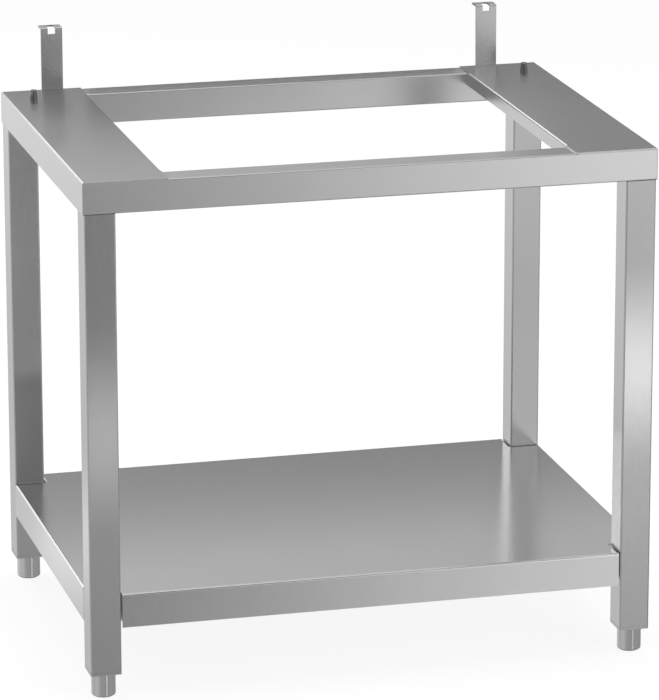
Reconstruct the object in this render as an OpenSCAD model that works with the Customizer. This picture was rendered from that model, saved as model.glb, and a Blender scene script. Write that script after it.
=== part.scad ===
// Stainless steel oven stand: two tube portals, two folded side panels that the oven rests on,
// a folded lower shelf, rear oven brackets, locating pins and four levelling feet.
// Millimetres. X to the right, Y to the back, Z up. The floor is Z = 0.

/* [Frame] */
// Width over the outer faces of the two side panels
stand_w = 743; // [600:1:1000]
// Depth from the front face to the rear face of the rails
frame_d = 535; // [420:1:800]
// Length of each leg with its end plate, from the bottom end to the underside of the rail
leg_len = 600; // [400:5:900]
// Outside size of the square tube of legs and rails
tube = 40; // [36:1:60]
// Wall of the square tube
tube_wall = 1.5; // [1:0.1:3]
// Outside corner radius of the square tube
tube_r = 2; // [1.2:0.1:4]

/* [Sheet metal] */
// Thickness of the folded sheet of panels and shelf
sheet_t = 1.5; // [1:0.1:2.5]
// Inside radius of every fold in that sheet
bend_r = 1; // [0.5:0.1:2]

/* [Side panels] */
// Width of each side panel, outer skirt face to inner flange face
panel_w = 108; // [100:1:180]
// Depth of the short flange along the inner edge, from the panel top
inner_flange_h = 18; // [10:0.5:34]
// Side of the square corner relief at each end of the inner fold
fold_relief = 3; // [2:0.5:5]
// Length of edge left open at the inner end of each ground seam weld
weld_stop = 2.5; // [1:0.5:6]
// Rounding of the ground front and rear edges of the panels
ground_r = 0.6; // [0.3:0.1:1]

/* [Shelf] */
// Height of the shelf top above the bottom ends of the legs
shelf_rise = 106; // [80:1:300]
// Height of the flange round the shelf
shelf_flange_h = 44; // [30:1:60]
// Gap between a leg and the shelf cut-out beside it
notch_gap_x = 1.8; // [0.5:0.1:4]
// Gap between a leg and the shelf cut-out behind or in front of it
notch_gap_y = 2.6; // [0.5:0.1:5]
// Height of the tabs turned down along the cut-outs
notch_tab_h = 36.5; // [15:0.5:56]
// Width over the two feet of the hat section under the shelf
hat_w = 78; // [60:1:120]
// Width of the crown of the hat section
hat_crown_w = 40; // [25:1:60]
// Height of the hat section
hat_h = 22; // [12:1:28]
// Gap between each end of the hat section and the flange beside it
hat_end_gap = 16.5; // [2:0.5:40]

/* [Oven brackets] */
// Distance from the outer skirt face to the middle of a bracket
bracket_inset = 70; // [30:1:90]
// Width of a bracket
bracket_w = 29; // [22:0.5:40]
// Thickness of a bracket
bracket_t = 2; // [1.5:0.1:3]
// Height of a bracket above the panel top
bracket_rise = 83.3; // [50:0.1:140]
// Length of the tab turned back at the top, from the front face of the bracket
bracket_tab = 20; // [18:0.5:30]
// Inside radius of the bracket's fold
bracket_bend_r = 1; // [0.5:0.1:2]
// Margin of the bracket above the underside of the rail
bracket_margin = 3; // [1:0.5:6]
// Width of the window cut through the fold
window_w = 10; // [6:0.5:14]
// Depth of the window below the top of the bracket
window_drop = 8.8; // [6:0.1:20]
// Strip left between the window and the rear edge of the tab
window_strip = 2.5; // [1.5:0.1:5]

/* [Bracket screws] */
// Thread diameter of the bracket screws
screw_d = 6; // [4:0.5:6]
// Spacing of the two screws of a bracket
screw_spacing = 20; // [16:0.5:22]
// Length of a screw under its head
screw_len = 14; // [10:0.5:20]
// Diameter of the button head
screw_head_d = 10.5; // [9:0.5:13]
// Height of the button head
screw_head_h = 3.3; // [2:0.1:5]
// Across flats of the hexagon socket in the head
screw_socket = 4; // [2:0.1:5]
// Barrel diameter of the rivet nut in the rail
rivet_d = 9; // [8.5:0.1:11]
// Length of the rivet nut inside the rail face
rivet_len = 14; // [10:0.5:18]
// Diameter of the crimped bulge behind the tube wall
rivet_bulge_d = 12; // [11.5:0.1:13]
// Length of the crimped bulge
rivet_bulge_len = 4; // [2:0.5:5]

/* [Locating pins] */
// Distance from the outer skirt face to a locating pin
pin_inset_x = 33.2; // [20:0.1:45]
// Distance from the rear face of the frame to a locating pin
pin_inset_y = 58; // [52:0.5:150]
// Height of a locating pin above the panel
pin_h = 13.3; // [10:0.1:30]
// Diameter of the upper part, which enters the oven
pin_d = 8.4; // [7:0.1:9]
// Diameter of the collar, which passes through the panel
collar_d = 10; // [9.2:0.1:14]
// Height of the collar above the panel top
collar_h = 6.2; // [3:0.1:8]
// Clearance all round between collar and panel hole
collar_clear = 0.15; // [0.05:0.05:0.4]
// Side of the square doubler plate under the panel, on which the collar stands
doubler_w = 32; // [24:1:36]
// Thickness of the doubler plate
doubler_t = 3; // [2:0.1:4]
// Diameter of the threaded shank under the collar
shank_d = 6; // [4:0.5:7]
// Length of the threaded shank under the collar
shank_len = 12; // [11:0.5:16]
// Clearance all round between shank and doubler plate
shank_clear = 0.25; // [0.1:0.05:0.5]
// Outside diameter of the washer under the doubler plate
washer_d = 12; // [9:0.5:16]
// Thickness of that washer
washer_t = 1.6; // [1:0.1:2]
// Across flats of the pin nut
pin_nut_af = 10; // [9:0.5:13]
// Height of the pin nut
pin_nut_h = 5; // [3:0.1:6]

/* [Levelling feet] */
// Diameter of the round foot
foot_d = 31; // [26:0.5:34]
// Height from the floor to the leg's bottom end with the foot screwed home
foot_h = 31.6; // [24:0.1:60]
// Rounding of the foot's lower edge
foot_edge_r = 2; // [0.5:0.1:3]
// Diameter of the threaded spindle
spindle_d = 10; // [8:0.5:12]
// Length of the spindle above the leg's bottom end
spindle_up = 42; // [40:1:80]
// Length of the spindle screwed into the foot
spindle_in = 16; // [8:0.5:18]
// Thickness of the plate welded under the end of each leg tube
end_plate_t = 4; // [3:0.1:6]
// Width and depth of the groove left round the plate where it meets the tube
end_groove = 0.5; // [0.2:0.1:0.8]
// Across flats of the nut welded on the plate, inside the tube
foot_nut_af = 17; // [16:0.5:19]
// Height of that nut
foot_nut_h = 8; // [5:0.5:10]
// Running clearance on the radius round the spindle
thread_clear = 0.05; // [0.02:0.01:0.1]
// Diameter of the glide pad under the foot
glide_d = 25.6; // [20:0.1:25.8]
// Thickness of the glide pad
glide_t = 4; // [2.5:0.1:6]
// Height by which the glide pad stands out of the foot
glide_proud = 0.8; // [0.4:0.1:2]
// Diameter of the snap stem on the glide pad
glide_stem_d = 6; // [4:0.5:8]
// Length of that stem
glide_stem_len = 5; // [3:0.5:6]
// Clearance on the radius round glide pad and stem
glide_clear = 0.1; // [0.05:0.01:0.2]

/* [Hidden] */

// Clearance on the radius of holes that a screw or rivet nut only fills
hole_clear = 0.05;
// Clearance between a ground weld and the round tube corner behind it
weld_clear = 0.02;
// Clearance of the rail's rounded end corner from the panel's fold
rail_end_clear = 0.2;
// Overshoot of cutting bodies, so that no skin is left
cut = 1;
// Length by which a fold reaches into the flat beside it, where the two are one sheet
fold_lap = 1;
// Depth of the hexagon socket in a screw head
socket_depth = 2;
// Chamfer at the top of pins and spindles
tip_chamfer = 0.8;
// Corner rounding of the bracket's lower end
bracket_corner_r = 3;
// Facets of true curves, which the exact build replaces
$fn = 48;

bend_out = bend_r + sheet_t;
lap_arm = bend_out + fold_lap;
panel_top = foot_h + leg_len + tube + sheet_t;
rail_top = panel_top - sheet_t;
rail_bottom = rail_top - tube;
skirt_h = tube + sheet_t;
y_front = -(frame_d + bracket_tab) / 2;
y_rear = y_front + frame_d;
y_mid = (y_front + y_rear) / 2;
rail_len = stand_w - 2 * sheet_t;
leg_x = rail_len / 2 - tube / 2;
leg_y_front = y_front + tube / 2;
leg_y_rear = y_rear - tube / 2;
shelf_top = foot_h + shelf_rise;
shelf_x = rail_len / 2;
notch_x = leg_x - tube / 2 - notch_gap_x;
notch_depth_y = tube + notch_gap_y;
bracket_x = stand_w / 2 - bracket_inset;
bracket_out = bracket_bend_r + bracket_t;
bracket_bottom = rail_bottom + bracket_margin;
rail_mid_z = rail_top - tube / 2;
pin_x = stand_w / 2 - pin_inset_x;
pin_y = y_rear - pin_inset_y;
thread_r = spindle_d / 2 + thread_clear;
tube_bore = tube - 2 * tube_wall;

steel = "lightgray";
bright_steel = "silver";
zinc = "darkgray";
nylon = "dimgray";

// A square with four round corners, centred
module round_square(side, r) {
    square([side, side - 2 * r], center = true);
    square([side - 2 * r, side], center = true);
    for (sx = [-1, 1], sy = [-1, 1])
        translate([sx * (side / 2 - r), sy * (side / 2 - r)])
            circle(r);
}

// A rectangle from the origin with its two upper corners round
module round_top(w, h, r) {
    square([w, h - r]);
    translate([r, 0])
        square([w - 2 * r, h]);
    translate([r, h - r])
        circle(r);
    translate([w - r, h - r])
        circle(r);
}

// A hexagon with the given size across flats
module hexagon(af) {
    circle(d = af / cos(30), $fn = 6);
}

module tube_section() {
    difference() {
        round_square(tube, tube_r);
        round_square(tube_bore, max(0.3, tube_r - tube_wall));
    }
}

// A rectangle from the origin with its upper left corner round. It must be wider than the radius.
module round_left_top(w, h, r) {
    square([w, h - r]);
    translate([r, 0])
        square([w - r, h]);
    translate([r, h - r])
        circle(r);
}

// A fold at the top left, with the leg that hangs from it and an arm to the right.
// Outer faces are at X = 0 and Y = 0.
module folded_edge(depth, arm) {
    translate([0, -depth])
        difference() {
            round_left_top(arm, depth, bend_out);
            translate([sheet_t, -cut])
                round_left_top(arm + cut, depth + cut - sheet_t, bend_r);
        }
}

// Places its children in all four leg centres
module at_each_leg() {
    for (sx = [-1, 1], y = [leg_y_front, leg_y_rear])
        translate([sx * leg_x, y, 0])
            children();
}

// The tube of one leg, above its end plate; side is -1 for left and 1 for right
module leg(side, y) {
    color(steel)
        translate([side * leg_x, y, foot_h + end_plate_t])
            linear_extrude(leg_len - end_plate_t)
                tube_section();
}

// A rail of square tube from skirt to skirt. Its upper end corners are rounded to clear the panel folds.
module rail(y) {
    end_r = bend_r + rail_end_clear;
    color(steel)
        translate([0, y, 0])
            intersection() {
                translate([-rail_len / 2, 0, rail_mid_z])
                    rotate([90, 0, 90])
                        linear_extrude(rail_len)
                            tube_section();
                translate([-rail_len / 2, tube / 2 + cut, rail_bottom])
                    rotate([90, 0, 0])
                        linear_extrude(tube + 2 * cut)
                            round_top(rail_len, tube, end_r);
            }
}

// Holes through the rear face of the rail for the rivet nuts
module rear_rail() {
    color(steel)
        difference() {
            rail(leg_y_rear);
            at_bracket_screws()
                translate([0, 0, -tube / 2])
                    cylinder(h = tube / 2 + cut, d = rivet_d + 2 * hole_clear);
        }
}

// Places its children at each bracket screw, on the rear face of the rail, with Z to the back
module at_bracket_screws() {
    for (sx = [-1, 1], dz = [-screw_spacing / 2, screw_spacing / 2])
        translate([sx * bracket_x, y_rear, rail_mid_z + dz])
            rotate([-90, 0, 0])
                children();
}

// Extrudes a section drawn in X and Z along Y
module along_y(y0, y1) {
    translate([0, y1, 0])
        rotate([90, 0, 0])
            linear_extrude(y1 - y0)
                children();
}

// Ground weld that closes the groove over the rail's round outer corner, drawn in Y and Z from that edge
module weld_section() {
    difference() {
        translate([0, -tube_r])
            square([tube_r, tube_r + sheet_t / 2]);
        translate([tube_r, -tube_r])
            circle(tube_r + weld_clear);
    }
}

// The weld above one rail, from the skirt to weld_stop before the inner edge
module seam_weld() {
    translate([sheet_t, 0, skirt_h - sheet_t])
        rotate([90, 0, 90])
            linear_extrude(panel_w - sheet_t - weld_stop)
                weld_section();
}

// Skirt, fold and flat of the panel, without the strip that the inner fold takes between the rails
module panel_flat() {
    difference() {
        along_y(0, frame_d)
            translate([0, skirt_h])
                folded_edge(skirt_h, panel_w);
        translate([panel_w - bend_out, tube, skirt_h - bend_out])
            cube([bend_out + cut, frame_d - 2 * tube, bend_out + cut]);
    }
}

// Left side panel. It is drawn from its outer face, with Y from the front face and Z from the skirt's edge.
module panel_shape() {
    difference() {
        union() {
            panel_flat();
            along_y(tube, frame_d - tube)
                translate([panel_w, skirt_h])
                    mirror([1, 0])
                        folded_edge(inner_flange_h, lap_arm);
            seam_weld();
            translate([0, frame_d, 0])
                mirror([0, 1, 0])
                    seam_weld();
        }
        for (y = [tube, frame_d - tube - fold_relief])
            translate([panel_w - fold_relief, y, skirt_h - fold_relief])
                cube([fold_relief + cut, fold_relief, fold_relief + cut]);
        for (y = [0, frame_d])
            translate([-cut, y, skirt_h])
                mirror([0, y == 0 ? 0 : 1, 0])
                    rotate([90, 0, 90])
                        linear_extrude(panel_w + 2 * cut)
                            edge_round();
    }
}

// What is ground off a square edge at the origin, drawn in Y and Z
module edge_round() {
    difference() {
        translate([-cut, -ground_r])
            square([ground_r + cut, ground_r + cut]);
        translate([ground_r, -ground_r])
            circle(ground_r);
    }
}

module left_top_panel() {
    color(steel)
        difference() {
            translate([-stand_w / 2, y_front, rail_bottom])
                panel_shape();
            translate([-pin_x, pin_y, panel_top - sheet_t - cut])
                cylinder(h = sheet_t + 2 * cut, d = collar_d + 2 * collar_clear);
        }
}

module right_top_panel() {
    mirror([1, 0, 0])
        left_top_panel();
}

// Section of the shelf's flange: the fold, and the skirt that hangs from it
module flange_section() {
    translate([0, shelf_flange_h])
        folded_edge(shelf_flange_h, lap_arm);
}

// Flange along X at the front face, and its mirror image at the rear
module shelf_front_flange() {
    translate([-notch_x, y_front, shelf_top - shelf_flange_h])
        rotate([90, 0, 90])
            linear_extrude(2 * notch_x)
                flange_section();
}

// Flange along Y on the left side. The skirt meets the legs and the fold stops at the cut-outs.
module shelf_left_flange() {
    difference() {
        translate([-shelf_x, 0, shelf_top - shelf_flange_h])
            along_y(y_front + tube, y_rear - tube)
                flange_section();
        for (y = [y_front + tube, y_rear - tube - notch_gap_y])
            translate([-shelf_x - cut, y, shelf_top - bend_out])
                cube([lap_arm + 2 * cut, notch_gap_y, bend_out + cut]);
    }
}

// The two tabs of the front left cut-out, and the flat of the sheet between them
module shelf_corner_tabs() {
    translate([-notch_x - bend_out, y_front + notch_depth_y - bend_out, shelf_top - sheet_t])
        linear_extrude(sheet_t)
            difference() {
                square(2 * bend_out + fold_lap);
                square(bend_out);
            }
    translate([-notch_x, 0, shelf_top])
        along_y(y_front + bend_out, y_front + notch_depth_y - bend_out)
            folded_edge(notch_tab_h, lap_arm);
    translate([-shelf_x + bend_out, y_front + notch_depth_y, shelf_top])
        rotate([90, 0, 90])
            linear_extrude(shelf_x - notch_x - 2 * bend_out)
                folded_edge(notch_tab_h, lap_arm);
}

// The flat of the shelf, short of every fold
module shelf_flat() {
    side_x = shelf_x - bend_out;
    side_y = notch_depth_y + bend_out;
    mid_x = notch_x - bend_out;
    translate([-side_x, y_front + side_y, shelf_top - sheet_t])
        cube([2 * side_x, frame_d - 2 * side_y, sheet_t]);
    translate([-mid_x, y_front + bend_out, shelf_top - sheet_t])
        cube([2 * mid_x, frame_d - 2 * bend_out, sheet_t]);
}

// Mirrors its children to the other side, front to back
module front_to_rear() {
    translate([0, 2 * y_mid, 0])
        mirror([0, 1, 0])
            children();
}

module shelf() {
    color(steel) {
        shelf_flat();
        shelf_front_flange();
        front_to_rear()
            shelf_front_flange();
        for (side = [0, 1])
            mirror([side, 0, 0]) {
                shelf_left_flange();
                shelf_corner_tabs();
                front_to_rear()
                    shelf_corner_tabs();
            }
    }
}

// Hat section across the width under the shelf, its feet against the sheet
module shelf_stiffener() {
    hat_len = 2 * (shelf_x - sheet_t - hat_end_gap);
    color(zinc)
        translate([-hat_len / 2, y_mid, shelf_top - sheet_t - hat_h])
            rotate([90, 0, 90])
                linear_extrude(hat_len)
                    hat_section();
}

// Section of the hat: crown below, walls, and feet turned out against the sheet
module hat_section() {
    crown = hat_crown_w / 2;
    half = hat_h / 2 + fold_lap;
    for (side = [0, 1])
        mirror([side, 0]) {
            translate([crown, 0])
                mirror([1, 0])
                    mirror([0, 1])
                        folded_edge(half, crown + fold_lap);
            translate([crown - sheet_t, hat_h])
                folded_edge(half, hat_w / 2 - crown + sheet_t);
        }
}

// Outline of the bracket from the side, in Y from its front face and Z from its lower end
module bracket_side(height) {
    difference() {
        round_left_top(bracket_tab, height, bracket_out);
        translate([bracket_t, -cut])
            round_left_top(bracket_tab, height - bracket_t + cut, bracket_bend_r);
    }
}

// Left oven bracket: plate behind the rail, tab turned back at the top, window through the fold
module left_oven_bracket() {
    height = panel_top + bracket_rise - bracket_bottom;
    color(bright_steel)
        difference() {
            translate([-bracket_x - bracket_w / 2, y_rear, bracket_bottom])
                rotate([90, 0, 90])
                    linear_extrude(bracket_w)
                        bracket_side(height);
            translate([-bracket_x - window_w / 2, y_rear - cut, panel_top + bracket_rise - window_drop])
                cube([window_w, bracket_tab - window_strip + cut, window_drop + cut]);
            for (sx = [-1, 1])
                translate([-bracket_x + sx * bracket_w / 2, y_rear - cut, bracket_bottom])
                    mirror([sx == 1 ? 1 : 0, 0, 0])
                        lower_corner_cut();
            at_bracket_screws()
                translate([0, 0, -cut])
                    cylinder(h = bracket_t + 2 * cut, d = screw_d + 2 * hole_clear);
        }
}

// What is cut off a lower corner of the bracket to round it
module lower_corner_cut() {
    rotate([-90, 0, 0])
        linear_extrude(bracket_t + 2 * cut)
            difference() {
                translate([-cut, -bracket_corner_r])
                    square([bracket_corner_r + cut, bracket_corner_r + cut]);
                translate([bracket_corner_r, -bracket_corner_r])
                    circle(bracket_corner_r);
            }
}

module right_oven_bracket() {
    mirror([1, 0, 0])
        left_oven_bracket();
}

// Button-head screws through the brackets into the rivet nuts
module bracket_screws() {
    color(zinc)
        at_bracket_screws()
            translate([0, 0, bracket_t])
                difference() {
                    union() {
                        button_head();
                        translate([0, 0, -screw_len])
                            cylinder(h = screw_len + screw_head_h / 2, d = screw_d);
                    }
                    translate([0, 0, screw_head_h - socket_depth])
                        linear_extrude(socket_depth + cut)
                            hexagon(screw_socket);
                }
}

// A domed head: a ball cut by the head's cylinder
module button_head() {
    head_r = screw_head_d / 2;
    ball_r = (head_r * head_r + screw_head_h * screw_head_h) / (2 * screw_head_h);
    intersection() {
        cylinder(h = screw_head_h, r = head_r);
        translate([0, 0, screw_head_h - ball_r])
            sphere(ball_r);
    }
}

// Rivet nuts set flush in the rear face of the rail, crimped behind the tube wall
module bracket_rivet_nuts() {
    color(zinc)
        at_bracket_screws()
            difference() {
                union() {
                    translate([0, 0, -rivet_len])
                        cylinder(h = rivet_len, d = rivet_d);
                    translate([0, 0, -tube_wall - rivet_bulge_len])
                        cylinder(h = rivet_bulge_len, d = rivet_bulge_d);
                }
                translate([0, 0, -rivet_len - cut])
                    cylinder(h = rivet_len + 2 * cut, d = screw_d + 2 * hole_clear);
            }
}

// Places its children at both locating pins, on the underside of the panel's sheet
module at_each_pin() {
    for (side = [-1, 1])
        at_pin(side)
            children();
}

module at_pin(side) {
    translate([side * pin_x, pin_y, panel_top - sheet_t])
        children();
}

// A turned locating pin: threaded shank, collar and chamfered upper part
module locating_pin(side) {
    straight_h = sheet_t + pin_h - tip_chamfer;
    color(bright_steel)
        at_pin(side) {
            translate([0, 0, -shank_len])
                cylinder(h = shank_len, d = shank_d);
            cylinder(h = sheet_t + collar_h, d = collar_d);
            cylinder(h = straight_h, d = pin_d);
            translate([0, 0, straight_h])
                cylinder(h = tip_chamfer, d1 = pin_d, d2 = pin_d - 2 * tip_chamfer);
        }
}

// Square plates that double the thin sheet under the pins
module pin_doublers() {
    color(steel)
        at_each_pin()
            translate([0, 0, -doubler_t])
                difference() {
                    translate([-doubler_w / 2, -doubler_w / 2, 0])
                        cube([doubler_w, doubler_w, doubler_t]);
                    translate([0, 0, -cut])
                        cylinder(h = doubler_t + 2 * cut, d = shank_d + 2 * shank_clear);
                }
}

module pin_washers() {
    color(zinc)
        at_each_pin()
            translate([0, 0, -doubler_t - washer_t])
                difference() {
                    cylinder(h = washer_t, d = washer_d);
                    translate([0, 0, -cut])
                        cylinder(h = washer_t + 2 * cut, d = shank_d + 2 * shank_clear);
                }
}

module pin_nuts() {
    color(zinc)
        at_each_pin()
            translate([0, 0, -doubler_t - washer_t - pin_nut_h])
                difference() {
                    linear_extrude(pin_nut_h)
                        hexagon(pin_nut_af);
                    translate([0, 0, -cut])
                        cylinder(h = pin_nut_h + 2 * cut, d = shank_d + 2 * hole_clear);
                }
}

// Plate that closes the lower end of a leg, flush with the tube, with the threaded hole for the spindle
module end_plate(side, y) {
    color(steel)
        translate([side * leg_x, y, foot_h])
            difference() {
                union() {
                    linear_extrude(end_plate_t - end_groove)
                        round_square(tube, tube_r);
                    linear_extrude(end_plate_t)
                        round_square(tube - 2 * end_groove, tube_r - end_groove);
                }
                translate([0, 0, -cut])
                    cylinder(h = end_plate_t + 2 * cut, r = thread_r);
            }
}

// Nuts welded on the end plates, inside the tubes
module foot_nuts() {
    color(zinc)
        at_each_leg()
            translate([0, 0, foot_h + end_plate_t])
                difference() {
                    linear_extrude(foot_nut_h)
                        hexagon(foot_nut_af);
                    translate([0, 0, -cut])
                        cylinder(h = foot_nut_h + 2 * cut, r = thread_r);
                }
}

// Threaded spindle of a levelling foot
module spindle(side, y) {
    color(zinc)
        translate([side * leg_x, y, foot_h - spindle_in]) {
            cylinder(h = spindle_in + spindle_up - tip_chamfer, d = spindle_d);
            translate([0, 0, spindle_in + spindle_up - tip_chamfer])
                cylinder(h = tip_chamfer, d1 = spindle_d, d2 = spindle_d - 2 * tip_chamfer);
        }
}

// Half section of the foot's outside, with the lower edge round
module foot_outline() {
    foot_r = foot_d / 2;
    body_h = foot_h - glide_proud;
    square([foot_r - foot_edge_r, body_h]);
    translate([0, foot_edge_r])
        square([foot_r, body_h - foot_edge_r]);
    translate([foot_r - foot_edge_r, foot_edge_r])
        circle(foot_edge_r);
}

// Turned foot: blind hole for the spindle, recess and stem hole for the glide pad
module foot(side, y) {
    recess_h = glide_t - glide_proud;
    color(bright_steel)
        translate([side * leg_x, y, glide_proud])
            difference() {
                rotate_extrude()
                    foot_outline();
                translate([0, 0, foot_h - glide_proud - spindle_in])
                    cylinder(h = spindle_in + cut, r = thread_r);
                translate([0, 0, -cut])
                    cylinder(h = recess_h + cut, d = glide_d + 2 * glide_clear);
                cylinder(h = recess_h + glide_stem_len + glide_clear, d = glide_stem_d + 2 * glide_clear);
            }
}

// Plastic glide pad with its snap stem
module glide(side, y) {
    color(nylon)
        translate([side * leg_x, y, 0]) {
            cylinder(h = glide_t, d = glide_d);
            cylinder(h = glide_t + glide_stem_len, d = glide_stem_d);
        }
}

rail(leg_y_front);  // front_rail
rear_rail();
leg(-1, leg_y_front);  // front_left_leg
leg(1, leg_y_front);  // front_right_leg
leg(-1, leg_y_rear);  // rear_left_leg
leg(1, leg_y_rear);  // rear_right_leg
left_top_panel();
right_top_panel();
shelf();
shelf_stiffener();
left_oven_bracket();
right_oven_bracket();
bracket_screws();
bracket_rivet_nuts();
locating_pin(-1);  // left_locating_pin
locating_pin(1);  // right_locating_pin
pin_doublers();
pin_washers();
pin_nuts();
end_plate(-1, leg_y_front);  // front_left_end_plate
end_plate(1, leg_y_front);  // front_right_end_plate
end_plate(-1, leg_y_rear);  // rear_left_end_plate
end_plate(1, leg_y_rear);  // rear_right_end_plate
foot_nuts();
spindle(-1, leg_y_front);  // front_left_spindle
spindle(1, leg_y_front);  // front_right_spindle
spindle(-1, leg_y_rear);  // rear_left_spindle
spindle(1, leg_y_rear);  // rear_right_spindle
foot(-1, leg_y_front);  // front_left_foot
foot(1, leg_y_front);  // front_right_foot
foot(-1, leg_y_rear);  // rear_left_foot
foot(1, leg_y_rear);  // rear_right_foot
glide(-1, leg_y_front);  // front_left_glide
glide(1, leg_y_front);  // front_right_glide
glide(-1, leg_y_rear);  // rear_left_glide
glide(1, leg_y_rear);  // rear_right_glide
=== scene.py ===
"""Oven stand in satin stainless steel: finishes, threads and welds, studio light and camera."""
from math import asin, atan2, cos, degrees, hypot, pi, radians

import bmesh
import bpy
from mathutils import Matrix, Vector


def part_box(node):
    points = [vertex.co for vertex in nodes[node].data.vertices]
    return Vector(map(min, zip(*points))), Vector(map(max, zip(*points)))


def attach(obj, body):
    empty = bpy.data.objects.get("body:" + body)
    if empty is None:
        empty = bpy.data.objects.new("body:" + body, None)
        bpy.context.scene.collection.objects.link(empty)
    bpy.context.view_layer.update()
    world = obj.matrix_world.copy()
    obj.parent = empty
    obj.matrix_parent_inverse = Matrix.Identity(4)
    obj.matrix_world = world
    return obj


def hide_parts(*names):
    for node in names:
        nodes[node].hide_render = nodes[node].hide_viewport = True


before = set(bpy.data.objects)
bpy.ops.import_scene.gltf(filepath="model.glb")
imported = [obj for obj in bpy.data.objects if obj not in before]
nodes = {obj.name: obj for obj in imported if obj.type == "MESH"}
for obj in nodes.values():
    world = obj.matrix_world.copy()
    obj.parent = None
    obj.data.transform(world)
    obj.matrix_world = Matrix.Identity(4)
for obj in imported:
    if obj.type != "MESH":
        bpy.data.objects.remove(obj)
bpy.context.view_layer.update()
MM = 0.001
CORNERS = ("front_left", "front_right", "rear_left", "rear_right")


# Materials

def linear(colour):
    """An sRGB hex colour such as 'CCCCCC' as linear red, green, blue and alpha."""
    channels = [int(colour[i:i + 2], 16) / 255 for i in (0, 2, 4)]
    return [c / 12.92 if c <= 0.04045 else ((c + 0.055) / 1.055) ** 2.4 for c in channels] + [1.0]


def add(tree, kind, sockets=None, **settings):
    """Adds a node with its settings. sockets gives each input, by name or number, a value, an output to link,
    or a node whose first output is linked."""
    new = tree.nodes.new(kind)
    for name, value in settings.items():
        setattr(new, name, value)
    for name, value in (sockets or {}).items():
        if isinstance(value, bpy.types.Node):
            value = value.outputs[0]
        if isinstance(value, bpy.types.NodeSocket):
            tree.links.new(value, new.inputs[name])
        else:
            new.inputs[name].default_value = value
    return new


def new_material(name):
    """An empty material and its tree of nodes."""
    material = bpy.data.materials.new(name)
    material.use_nodes = True
    material.node_tree.nodes.clear()
    return material, material.node_tree


# Nearly all values of a noise pattern lie between these two.
NOISE = {"From Min": 0.3, "From Max": 0.7}
MOTTLE_WIDTH = 2.6 * MM
MOTTLE_LENGTH = 8 * MM
CLOUD_SIZE = 90 * MM
CLOUD_TONE = 0.01            # lighter and darker by this part
GLOSS_CHANGE = 0.01          # rougher and smoother by this
FOLD = 0.7                   # a face whose normal goes along the grain by more than this is past a fold
RING_GLOSS = (0.85, 1.2)     # times the roughness
ZINC_CRYSTAL = 0.6 * MM
MOULD_GRAIN = 0.35 * MM
NYLON_IOR = 1.53


def satin_steel(name, colour, grain, roughness, anisotropy, mottle, mottle_run):
    """Stainless steel with a fine satin grind along grain ("X", "Y" or "Z"), which draws each reflection out
    across the grain: soft broad tones that change along a tube, and a narrow change of tone at each bend. The
    scratches, about 0.05 mm wide, are too fine to be seen singly. What shows is a quiet mottle, really about
    0.3 mm wide and 1 mm long, which is drawn 2.6 mm wide and 8 mm long, along mottle_run, so that the picture
    doesn't lose it."""
    material, tree = new_material(name)
    place = add(tree, "ShaderNodeTexCoord")
    axes = add(tree, "ShaderNodeSeparateXYZ", {0: place.outputs["Object"]}).outputs
    facing = add(tree, "ShaderNodeSeparateXYZ", {0: place.outputs["Normal"]}).outputs
    along = "XYZ".index(grain)
    down = 2 if along < 2 else 0
    # Where the sheet is folded, the faces that the grain would pierce carry it on down the fold.
    lean = add(tree, "ShaderNodeMath", {0: facing[along]}, operation="ABSOLUTE")
    pierced = add(tree, "ShaderNodeMath", {0: lean, 1: FOLD}, operation="GREATER_THAN")
    unpierced = add(tree, "ShaderNodeMath", {0: 1.0, 1: pierced}, operation="SUBTRACT")
    run = add(tree, "ShaderNodeCombineXYZ", {along: unpierced, down: pierced})
    across = add(tree, "ShaderNodeVectorMath", {
        0: place.outputs["Normal"], 1: run}, operation="CROSS_PRODUCT")
    stretch = {}
    for axis in range(3):
        size = MOTTLE_LENGTH if "XYZ"[axis] == mottle_run else MOTTLE_WIDTH
        stretch[axis] = add(tree, "ShaderNodeMath", {0: axes[axis], 1: size}, operation="DIVIDE")
    fine = add(tree, "ShaderNodeTexNoise", {
        "Vector": add(tree, "ShaderNodeCombineXYZ", stretch), "Scale": 1.0, "Detail": 2.0})
    # A cloudy change of tone, a hand wide, from the uneven pressure of the belt.
    cloud = add(tree, "ShaderNodeTexNoise", {
        "Vector": place.outputs["Object"], "Scale": 1 / CLOUD_SIZE, "Detail": 1.0})
    fine_shade = add(tree, "ShaderNodeMapRange", {
        "Value": fine, "To Min": 1 - mottle, "To Max": 1 + mottle, **NOISE})
    cloud_shade = add(tree, "ShaderNodeMapRange", {
        "Value": cloud, "To Min": 1 - CLOUD_TONE, "To Max": 1 + CLOUD_TONE, **NOISE})
    shade = add(tree, "ShaderNodeMath", {0: fine_shade, 1: cloud_shade}, operation="MULTIPLY")
    tone = add(tree, "ShaderNodeVectorMath", {0: linear(colour)[:3], "Scale": shade}, operation="SCALE")
    gloss = add(tree, "ShaderNodeMapRange", {
        "Value": fine, "To Min": roughness - GLOSS_CHANGE, "To Max": roughness + GLOSS_CHANGE, **NOISE})
    bump = add(tree, "ShaderNodeBump", {"Height": fine, "Strength": 0.02, "Distance": 0.02 * MM})
    steel = add(tree, "ShaderNodeBsdfPrincipled", {
        "Base Color": tone, "Metallic": 1.0, "Roughness": gloss, "Anisotropic": anisotropy,
        "Tangent": across, "Normal": bump})
    add(tree, "ShaderNodeOutputMaterial", {"Surface": steel})
    return material


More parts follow.
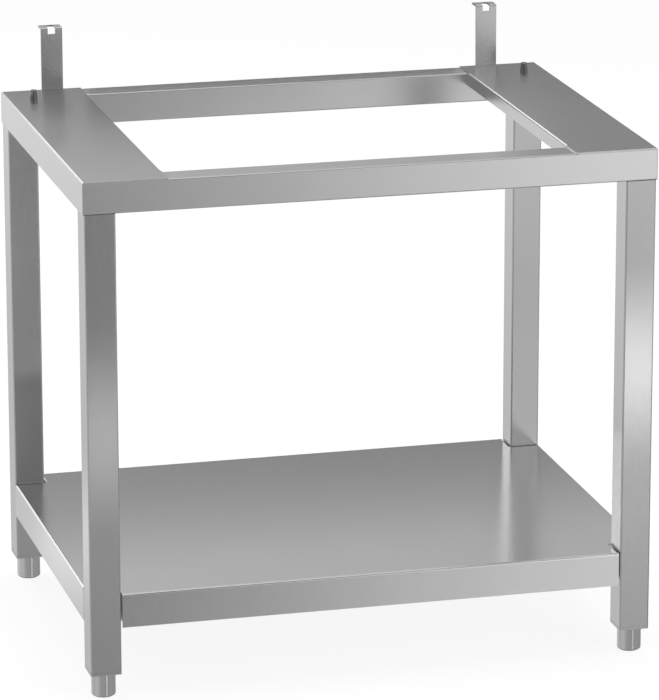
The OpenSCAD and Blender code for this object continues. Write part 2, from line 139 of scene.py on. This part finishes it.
def turned_steel(name, colour, roughness, ring):
    """Turned steel, polished or plain: bands of reflected light and shade run along it, crossed by faint
    rings of the tool's feed. ring is the width of one."""
    material, tree = new_material(name)
    place = add(tree, "ShaderNodeTexCoord")
    axes = add(tree, "ShaderNodeSeparateXYZ", {0: place.outputs["Object"]}).outputs
    height = add(tree, "ShaderNodeMath", {0: axes["Z"], 1: ring}, operation="DIVIDE")
    rings = add(tree, "ShaderNodeTexNoise", {
        "W": height, "Scale": 1.0, "Detail": 2.0}, noise_dimensions="1D")
    gloss = add(tree, "ShaderNodeMapRange", {
        "Value": rings, "To Min": roughness * RING_GLOSS[0], "To Max": roughness * RING_GLOSS[1], **NOISE})
    bump = add(tree, "ShaderNodeBump", {"Height": rings, "Strength": 0.1, "Distance": 0.01 * MM})
    steel = add(tree, "ShaderNodeBsdfPrincipled", {
        "Base Color": linear(colour), "Metallic": 1.0, "Roughness": gloss, "Normal": bump})
    add(tree, "ShaderNodeOutputMaterial", {"Surface": steel})
    return material


def zinc_plate(name, colour):
    """Bright zinc plate: slightly bluish, softer in its shine than the stainless steel, with a faint mottle
    of crystals. They are really about 0.2 mm wide and drawn 0.6 mm wide, so that they show on a thread."""
    material, tree = new_material(name)
    place = add(tree, "ShaderNodeTexCoord")
    crystals = add(tree, "ShaderNodeTexVoronoi", {
        "Vector": place.outputs["Object"], "Scale": 1 / ZINC_CRYSTAL}).outputs["Color"]
    shade = add(tree, "ShaderNodeMapRange", {"Value": crystals, "To Min": 0.92, "To Max": 1.04})
    tone = add(tree, "ShaderNodeVectorMath", {0: linear(colour)[:3], "Scale": shade}, operation="SCALE")
    gloss = add(tree, "ShaderNodeMapRange", {"Value": crystals, "To Min": 0.28, "To Max": 0.38})
    zinc = add(tree, "ShaderNodeBsdfPrincipled", {"Base Color": tone, "Metallic": 1.0, "Roughness": gloss})
    add(tree, "ShaderNodeOutputMaterial", {"Surface": zinc})
    return material


def moulded_nylon(name, colour):
    """Black nylon: dull, with the fine grain of the mould in its gloss."""
    material, tree = new_material(name)
    place = add(tree, "ShaderNodeTexCoord")
    grain = add(tree, "ShaderNodeTexNoise", {
        "Vector": place.outputs["Object"], "Scale": 1 / MOULD_GRAIN, "Detail": 2.0})
    gloss = add(tree, "ShaderNodeMapRange", {"Value": grain, "To Min": 0.45, "To Max": 0.6, **NOISE})
    bump = add(tree, "ShaderNodeBump", {"Height": grain, "Strength": 0.3, "Distance": 0.05 * MM})
    nylon = add(tree, "ShaderNodeBsdfPrincipled", {
        "Base Color": linear(colour), "Roughness": gloss, "IOR": NYLON_IOR, "Normal": bump})
    add(tree, "ShaderNodeOutputMaterial", {"Surface": nylon})
    return material


STEEL = "CCCCCC"
finishes = {
    # Rails, ground along the tube: tones fade softly up and down their faces
    "rail": satin_steel("satin_ground_stainless_rail", STEEL, grain="X", roughness=0.26, anisotropy=0.6,
                        mottle=0.004, mottle_run="X"),
    # Legs, ground along the tube: tones change along the leg and hardly across it
    "leg": satin_steel("satin_ground_stainless_leg", STEEL, grain="Z", roughness=0.2, anisotropy=0.8,
                       mottle=0.004, mottle_run="Z"),
    # Panels, ground before they are folded: an even sheen with a mottle along their length
    "panel": satin_steel("satin_ground_stainless_panel", STEEL, grain="Y", roughness=0.26, anisotropy=0.3,
                         mottle=0.05, mottle_run="Y"),
    # Shelf, of a finer grind: a little lighter than the panels, and it shows the legs more clearly
    "shelf": satin_steel("fine_satin_stainless_shelf", "D2D2D2", grain="X", roughness=0.2, anisotropy=0.3,
                         mottle=0.03, mottle_run="Y"),
    # Brackets and doublers, left as rolled, and bare welds: a little greyer and duller than the rest
    "plate": satin_steel("mill_finish_stainless_plate", "C6C6C6", grain="Z", roughness=0.28, anisotropy=0.3,
                         mottle=0.012, mottle_run="Z"),
    # Feet, turned and polished: upright bands of light and shade
    "polished": turned_steel("polished_stainless", "D2D2D2", roughness=0.24, ring=0.8 * MM),
    # Locating pins, polished, with sharp bands: their colour is made darker than the steel's to paint in the
    # dark reflections they show
    "pin": turned_steel("polished_steel_painted_dark_reflection", "8C8C8C", roughness=0.06, ring=0.8 * MM),
    # Screws, nuts and washers, left plain: a slightly warmer grey with a soft shine
    "plain": turned_steel("plain_stainless_fastener", "BEBEBC", roughness=0.25, ring=0.4 * MM),
    # Spindles, zinc plated: slightly bluish and softly mottled
    "zinc": zinc_plate("bright_zinc_plate", "B8BABD"),
    # Glide pads, moulded: dull black
    "nylon": moulded_nylon("moulded_black_nylon", "161616"),
}
finish_of = {
    "front_rail": "rail", "rear_rail": "rail", "left_top_panel": "panel", "right_top_panel": "panel",
    "shelf": "shelf", "shelf_stiffener": "shelf", "left_oven_bracket": "plate", "right_oven_bracket": "plate",
    "left_locating_pin": "pin", "right_locating_pin": "pin", "pin_doublers": "plate",
    "pin_washers": "plain", "pin_nuts": "plain", "bracket_screws": "plain", "bracket_rivet_nuts": "plain",
    "foot_nuts": "plain",
}
for corner in CORNERS:
    finish_of[corner + "_leg"] = "leg"
    finish_of[corner + "_end_plate"] = "leg"
    finish_of[corner + "_foot"] = "polished"
    finish_of[corner + "_spindle"] = "zinc"
    finish_of[corner + "_glide"] = "nylon"
for name, thing in nodes.items():
    thing.data.materials.clear()
    thing.data.materials.append(finishes[finish_of[name]])


# Threads and welds

def new_piece(name, bm, finish, body):
    """Makes bm into a piece of the object that moves with body and takes its finish from slot."""
    mesh = bpy.data.meshes.new(name)
    bmesh.ops.recalc_face_normals(bm, faces=bm.faces)
    bm.to_mesh(mesh)
    bm.free()
    mesh.materials.append(finishes[finish])
    piece = bpy.data.objects.new(name, mesh)
    bpy.context.scene.collection.objects.link(piece)
    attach(piece, body)
    return piece


THREAD_PITCH = 1.5 * MM
THREAD_DEPTH = 0.5413          # of the pitch, as in every metric thread
THREAD_CHAMFER = 0.8 * MM
THREAD_CLEARANCE = 0.02 * MM   # under the node's radius, so that the thread stays inside its box
STEPS_A_TURN = 24
MERGE = 0.005 * MM             # points closer than this become one


def threaded_rod(major, pitch, low, high, chamfer):
    """A right-hand metric thread round the Z axis from low to high, with a chamfer at its upper end. major is
    its outer radius."""
    bm = bmesh.new()
    root = major - THREAD_DEPTH * pitch
    # The root is a quarter of the pitch wide and the crest an eighth.
    profile = [(root, 0), (root, pitch / 4), (major, pitch * 9 / 16), (major, pitch * 11 / 16), (root, pitch)]
    points = [bm.verts.new((r, 0, z)) for r, z in profile]
    edges = [bm.edges.new(pair) for pair in zip(points, points[1:])]
    turns = int((high - low) / pitch) + 3
    bmesh.ops.spin(bm, geom=points + edges, cent=(0, 0, 0), axis=(0, 0, 1), dvec=(0, 0, pitch / STEPS_A_TURN),
                   angle=turns * 2 * pi, steps=turns * STEPS_A_TURN)
    # It starts below low and ends above high, and is cut to length.
    bmesh.ops.translate(bm, verts=bm.verts, vec=(0, 0, low - 1.5 * pitch))
    bmesh.ops.remove_doubles(bm, verts=bm.verts, dist=pitch / 200)
    for height, way in ((low, -1), (high, 1)):
        bmesh.ops.bisect_plane(bm, geom=bm.verts[:] + bm.edges[:] + bm.faces[:], plane_co=(0, 0, height),
                               plane_no=(0, 0, way), clear_outer=True)
    bmesh.ops.dissolve_degenerate(bm, edges=bm.edges, dist=MERGE)
    bmesh.ops.holes_fill(bm, edges=[edge for edge in bm.edges if edge.is_boundary])
    for point in bm.verts:
        reach = major - max(point.co.z - (high - chamfer), 0)
        point.co.xy *= min(reach / max(point.co.xy.length, root), 1)
    return bm


low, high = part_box("front_left_spindle")
rod = threaded_rod((high[0] - low[0]) / 2 - THREAD_CLEARANCE, THREAD_PITCH, low[2], high[2], THREAD_CHAMFER)
rod_mesh = bpy.data.meshes.new("threaded_rod")
rod.to_mesh(rod_mesh)
rod.free()
for corner in CORNERS:
    low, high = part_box(corner + "_spindle")
    bm = bmesh.new()
    bm.from_mesh(rod_mesh)
    bmesh.ops.translate(bm, verts=bm.verts, vec=((low[0] + high[0]) / 2, (low[1] + high[1]) / 2, 0))
    spindle = new_piece(corner + "_threaded_spindle", bm, "zinc", corner + "_foot_screw")
    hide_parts(corner + "_spindle")
bpy.data.meshes.remove(rod_mesh)

SHEET = 1.5 * MM                       # thickness of the shelf and the hat section
BEAD_RADIUS = 2 * MM
BEAD_SIDES = 14
RIPPLE = 1.5 * MM                      # length of one
RIPPLE_PARTS = 4
RIPPLE_NECK = 0.86                     # of the bead's radius, between two ripples
SHELF_BEAD = (6 * MM, 32 * MM)         # its ends, above the lower edge of the shelf's flange
PANEL_BEAD = (290 * MM, 316 * MM)      # its ends, from the stand's middle
OFF_JOINT = 0.7 * MM                   # from the middle of a bead to a face that it joins
OFF_RAIL = 0.5 * MM                    # the same, where that face is a rail's


def weld_bead(bm, start, end):
    """Adds a closed, rippled bead of weld metal from start to end. Its middle lies so close to the two faces
    that it joins that it is partly sunk into them."""
    line = end - start
    parts = RIPPLE_PARTS * round(line.length / RIPPLE)
    swell = [RIPPLE_NECK + (1 - RIPPLE_NECK) * abs(cos(pi * i / RIPPLE_PARTS)) for i in range(1, parts)]
    sideways = line.orthogonal().normalized() * BEAD_RADIUS
    outline = enumerate([0.0] + swell + [0.0])
    points = [bm.verts.new(start.lerp(end, i / parts) + sideways * r) for i, r in outline]
    edges = [bm.edges.new(pair) for pair in zip(points, points[1:])]
    bmesh.ops.spin(bm, geom=points + edges, cent=start, axis=line, angle=2 * pi, steps=BEAD_SIDES,
                   use_merge=True)
    bmesh.ops.remove_doubles(bm, verts=bm.verts, dist=MERGE)


shelf_low, shelf_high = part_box("shelf")
rail_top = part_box("front_rail")[1][2]
bm = bmesh.new()
for side in (-1, 1):
    for leg_face, inward in ((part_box("front_left_leg")[1][1], 1), (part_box("rear_left_leg")[0][1], -1)):
        # Upright beads inside the corner between the shelf's side flange and the leg
        x = side * (shelf_high[0] - SHEET - OFF_JOINT)
        y = leg_face + inward * OFF_JOINT
        bottom, top = [shelf_low[2] + height for height in SHELF_BEAD]
        weld_bead(bm, Vector((x, y, bottom)), Vector((x, y, top)))
        # Short beads under the top panel, along the rail's inner face
        y = leg_face + inward * OFF_RAIL
        z = rail_top - OFF_JOINT
        inner, outer = [side * reach for reach in PANEL_BEAD]
        weld_bead(bm, Vector((inner, y, z)), Vector((outer, y, z)))
new_piece("weld_beads", bm, "plate", "stand")

SPOTS_EACH_WAY = 5
SPOT_SPACING = 64 * MM
SPOT_MARGIN = 8 * MM               # from the edge of the hat section
SPOT_RADII = (2.2 * MM, 3 * MM)    # of its lower and upper side
SPOT_THICKNESS = 0.3 * MM
SPOT_PROUD = 0.2 * MM              # below the underside of the hat section's flange
hat_low, hat_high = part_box("shelf_stiffener")
bm = bmesh.new()
for row in (hat_low[1] + SPOT_MARGIN, hat_high[1] - SPOT_MARGIN):
    for i in range(-SPOTS_EACH_WAY, SPOTS_EACH_WAY + 1):
        z = hat_high[2] - SHEET - SPOT_PROUD + SPOT_THICKNESS / 2
        bmesh.ops.create_cone(bm, cap_ends=True, segments=32, radius1=SPOT_RADII[0], radius2=SPOT_RADII[1],
                              depth=SPOT_THICKNESS, matrix=Matrix.Translation((i * SPOT_SPACING, row, z)))
new_piece("spot_weld_marks", bm, "plate", "stand")


# Floor, dome and light

def white_for_view(tree, fraction):
    """The fraction for camera, glossy and transmission rays, and nothing for those that light the object."""
    path = add(tree, "ShaderNodeLightPath").outputs
    seen = add(tree, "ShaderNodeMath", {
        0: path["Is Camera Ray"], 1: path["Is Glossy Ray"]}, operation="ADD")
    seen = add(tree, "ShaderNodeMath", {
        0: seen, 1: path["Is Transmission Ray"]}, operation="ADD", use_clamp=True)
    return add(tree, "ShaderNodeMath", {0: seen, 1: fraction}, operation="MULTIPLY")


def stage_piece(name, bm):
    """Makes bm into a piece of the studio."""
    mesh = bpy.data.meshes.new(name)
    bm.to_mesh(mesh)
    bm.free()
    thing = bpy.data.objects.new(name, mesh)
    bpy.context.scene.collection.objects.link(thing)
    return thing


def plane(width, height, centre, facing, parts=1):
    """A flat rectangle that looks along facing, divided into parts by parts."""
    bm = bmesh.new()
    bmesh.ops.create_grid(bm, x_segments=parts, y_segments=parts, size=0.5)
    bmesh.ops.scale(bm, vec=(width, height, 1), verts=bm.verts)
    turn = Vector(facing).to_track_quat("Z", "Y").to_matrix().to_4x4()
    bmesh.ops.transform(bm, matrix=Matrix.Translation(centre) @ turn, verts=bm.verts)
    return bm


FLOOR_SIZE = 40.0
FLOOR_DROP = 0.3 * MM        # below the glide pads, so that the two never share a plane
FLOOR_WHITE = 0.9            # the rest is matt paint, which takes the stand's shadow
WHITE = (1, 1, 1, 1)
floor = stage_piece("studio_floor", plane(FLOOR_SIZE, FLOOR_SIZE, (0, 0, -FLOOR_DROP), (0, 0, 1)))
floor_paint, tree = new_material("pale_studio_floor")
matt = add(tree, "ShaderNodeBsdfDiffuse", {"Color": linear("F4F4F4")})
white = add(tree, "ShaderNodeEmission", {"Color": WHITE, "Strength": 1.0})
painted = add(tree, "ShaderNodeMixShader", {0: white_for_view(tree, FLOOR_WHITE), 1: matt, 2: white})
add(tree, "ShaderNodeOutputMaterial", {"Surface": painted})
floor.data.materials.append(floor_paint)
floor.visible_glossy = False       # the real stand's steel shows no floor, down to the feet


def pool(distance):
    """A soft pool of light: 1 in its middle, 0 from distance 1 outwards."""
    r = min(abs(distance), 1.0)
    return 1 - 3 * r * r + 2 * r * r * r


def glow(thing, tone, see_through=False):
    """Gives a stage piece a glow of tone(x, y, z), with white as 1, that only reflections see. A see-through
    piece adds its glow to what lies behind it, or dims that where its tone is below 0."""
    tones = thing.data.attributes.new("tone", "FLOAT", "POINT")
    for point in thing.data.vertices:
        tones.data[point.index].value = tone(*point.co)
    material, tree = new_material(thing.name + "_glow")
    value = add(tree, "ShaderNodeAttribute", attribute_name="tone").outputs["Fac"]
    brightness = add(tree, "ShaderNodeMath", {0: value, 1: 0.0}, operation="MAXIMUM")
    light = add(tree, "ShaderNodeEmission", {"Color": brightness, "Strength": 1.0})
    if see_through:
        passed = add(tree, "ShaderNodeMath", {0: value, 1: 1.0}, operation="ADD", use_clamp=True)
        clear = add(tree, "ShaderNodeBsdfTransparent", {"Color": passed})
        light = add(tree, "ShaderNodeAddShader", {0: light, 1: clear})
    add(tree, "ShaderNodeOutputMaterial", {"Surface": light})
    thing.data.materials.append(material)
    thing.visible_camera = False
    thing.visible_diffuse = False
    thing.visible_shadow = False


# The studio as the steel sees it: a far dome of grey cloth with soft pools of light and shade. Each has its
# azimuth from the front towards the right, its elevation, half width and half height in degrees, and the
# brightness that it adds to the cloth's, with white as 1.
DOME_RADIUS = 30.0
CLOTH = 0.40                       # brightness of the bare cloth
POOLS = (
    (20, -5, 12, 48, 1.33),        # tall light in front, a little to the right
    (44, 5, 52, 27, 0.55),         # its wide glow on the right
    (1, -17, 33, 2.6, 0.56),       # low band of light in front
    (23, -19, 34, 3.4, -0.89),     # bands of shade below and above it
    (11, -13, 22, 6.4, -0.94),
    (6, 23, 21, 32, -0.79),        # shade high in front
    (164, 1.5, 21, 12, -0.85),     # shade behind, a little to the right
    (165, 20, 16, 6, -0.97),       # a narrow band of shade above it
    (164, 33.5, 18, 12.4, 1.38),   # light above both
    (188, 20, 13, 8, 2.20),        # two lights behind, which show along the bends
    (199, 9, 7, 10, 1.60),
    (191, -8, 12, 7.6, 0.47),      # light low behind, on the left
    (204, 4, 59, 80, 0.45),        # its wide glow on the left
    (-80, -10, 60, 50, 0.30),      # wide glow at the far left
    (0, 90, 1000, 50, 1.00),       # light overhead, all round
)


def dome_tone(x, y, z):
    """Brightness of the dome at one of its points."""
    azimuth = degrees(atan2(x, -y))
    elevation = degrees(asin(z / DOME_RADIUS))
    tone = CLOTH
    for middle, height, half_width, half_height, extra in POOLS:
        aside = (azimuth - middle + 180) % 360 - 180
        tone += extra * pool(hypot(aside / half_width, (elevation - height) / half_height))
    return tone


bm = bmesh.new()
bmesh.ops.create_uvsphere(bm, u_segments=240, v_segments=120, radius=DOME_RADIUS)
glow(stage_piece("studio_dome", bm), dome_tone)

# Soft see-through reflectors near the stand: one close to each front leg gives the light zone at mid height,
# one low on the left lightens the front left leg's side near the shelf, and two wide ones behind the stand
# lighten the front parts of the shelf and of the panels. Two dark nets close behind the top darken the rear
# ends of the panels a little and the rear rail's upper side more. Each has the place of its middle, its width
# and half height in metres, and its brightness in the middle, with white as 1.
REFLECTORS = {
    "left_reflector": (-0.315, -0.45, 0.300, 0.09, 0.15, 0.30),
    "right_reflector": (0.407, -0.45, 0.335, 0.09, 0.15, 0.66),
    "low_left_reflector": (-0.51, 0.30, 0.025, 0.16, 0.135, 0.33),
    "low_rear_reflector": (0.3, 1.2, 0.665, 1.7, 0.15, 0.74),
    "high_rear_reflector": (0.05, 1.2, 1.16, 1.2, 0.16, 0.60),
    "wide_net": (0.05, 0.42, 0.715, 1.0, 0.08, -0.32),
    "rail_net": (0.045, 0.43, 0.715, 0.525, 0.08, -0.8),
}
REFLECTOR_PARTS = 16
for name, (x, y, z, width, half_height, extra) in REFLECTORS.items():
    reflector = stage_piece(name, plane(width, 2 * half_height, (x, y, z), (0, -y, 0), REFLECTOR_PARTS))
    glow(reflector, lambda px, py, pz: extra * pool((pz - z) / half_height), see_through=True)

WORLD_LIGHT = 0.7
world = bpy.context.scene.world or bpy.data.worlds.new("studio")
bpy.context.scene.world = world
world.use_nodes = True
tree = world.node_tree
tree.nodes.clear()
dim = add(tree, "ShaderNodeBackground", {"Color": WHITE, "Strength": WORLD_LIGHT})
white = add(tree, "ShaderNodeBackground", {"Color": WHITE, "Strength": 1.0})
mixed = add(tree, "ShaderNodeMixShader", {0: white_for_view(tree, 1.0), 1: dim, 2: white})
add(tree, "ShaderNodeOutputWorld", {"Surface": mixed})


def lamp(name, place, target, width, height, watts):
    """A soft area lamp. The steel sees the dome, so the lamp itself doesn't show in it."""
    data = bpy.data.lights.new(name, "AREA")
    data.shape = "RECTANGLE"
    data.size = width
    data.size_y = height
    data.energy = watts
    thing = bpy.data.objects.new(name, data)
    thing.location = place
    thing.rotation_euler = (Vector(target) - Vector(place)).to_track_quat("-Z", "Y").to_euler()
    thing.visible_glossy = False
    bpy.context.scene.collection.objects.link(thing)


lamp("softbox_overhead", place=(0.3, 0.2, 3.0), target=(0, 0, 0), width=2.5, height=2.0, watts=60)
lamp("softbox_rear_left", place=(-1.6, 3.0, 1.7), target=(0, 0, 0.5), width=1.6, height=0.9, watts=60)
lamp("softbox_front_right", place=(2.4, -3.0, 1.6), target=(0, 0, 0.4), width=1.5, height=1.5, watts=40)


# Camera

EYE = (-1.4854, -5.7851, 2.0275)
EYE_AZIMUTH = -14.792        # degrees from the front towards the right, so it stands on the left
EYE_ELEVATION = 15.607       # degrees that it looks down
SENSOR = 36.0                # mm, for the picture's longer side
FOCAL_LENGTH = 241.89        # mm
SHIFT = -0.030               # of the picture's longer side
view = bpy.data.cameras.new("camera")
view.sensor_width = SENSOR
view.lens = FOCAL_LENGTH
view.shift_x = SHIFT
view.clip_end = 100.0
camera = bpy.data.objects.new("camera", view)
camera.location = EYE
camera.rotation_euler = (radians(90 - EYE_ELEVATION), 0, radians(EYE_AZIMUTH))
bpy.context.scene.collection.objects.link(camera)
bpy.context.scene.camera = camera
bpy.context.scene.view_settings.view_transform = "Standard"
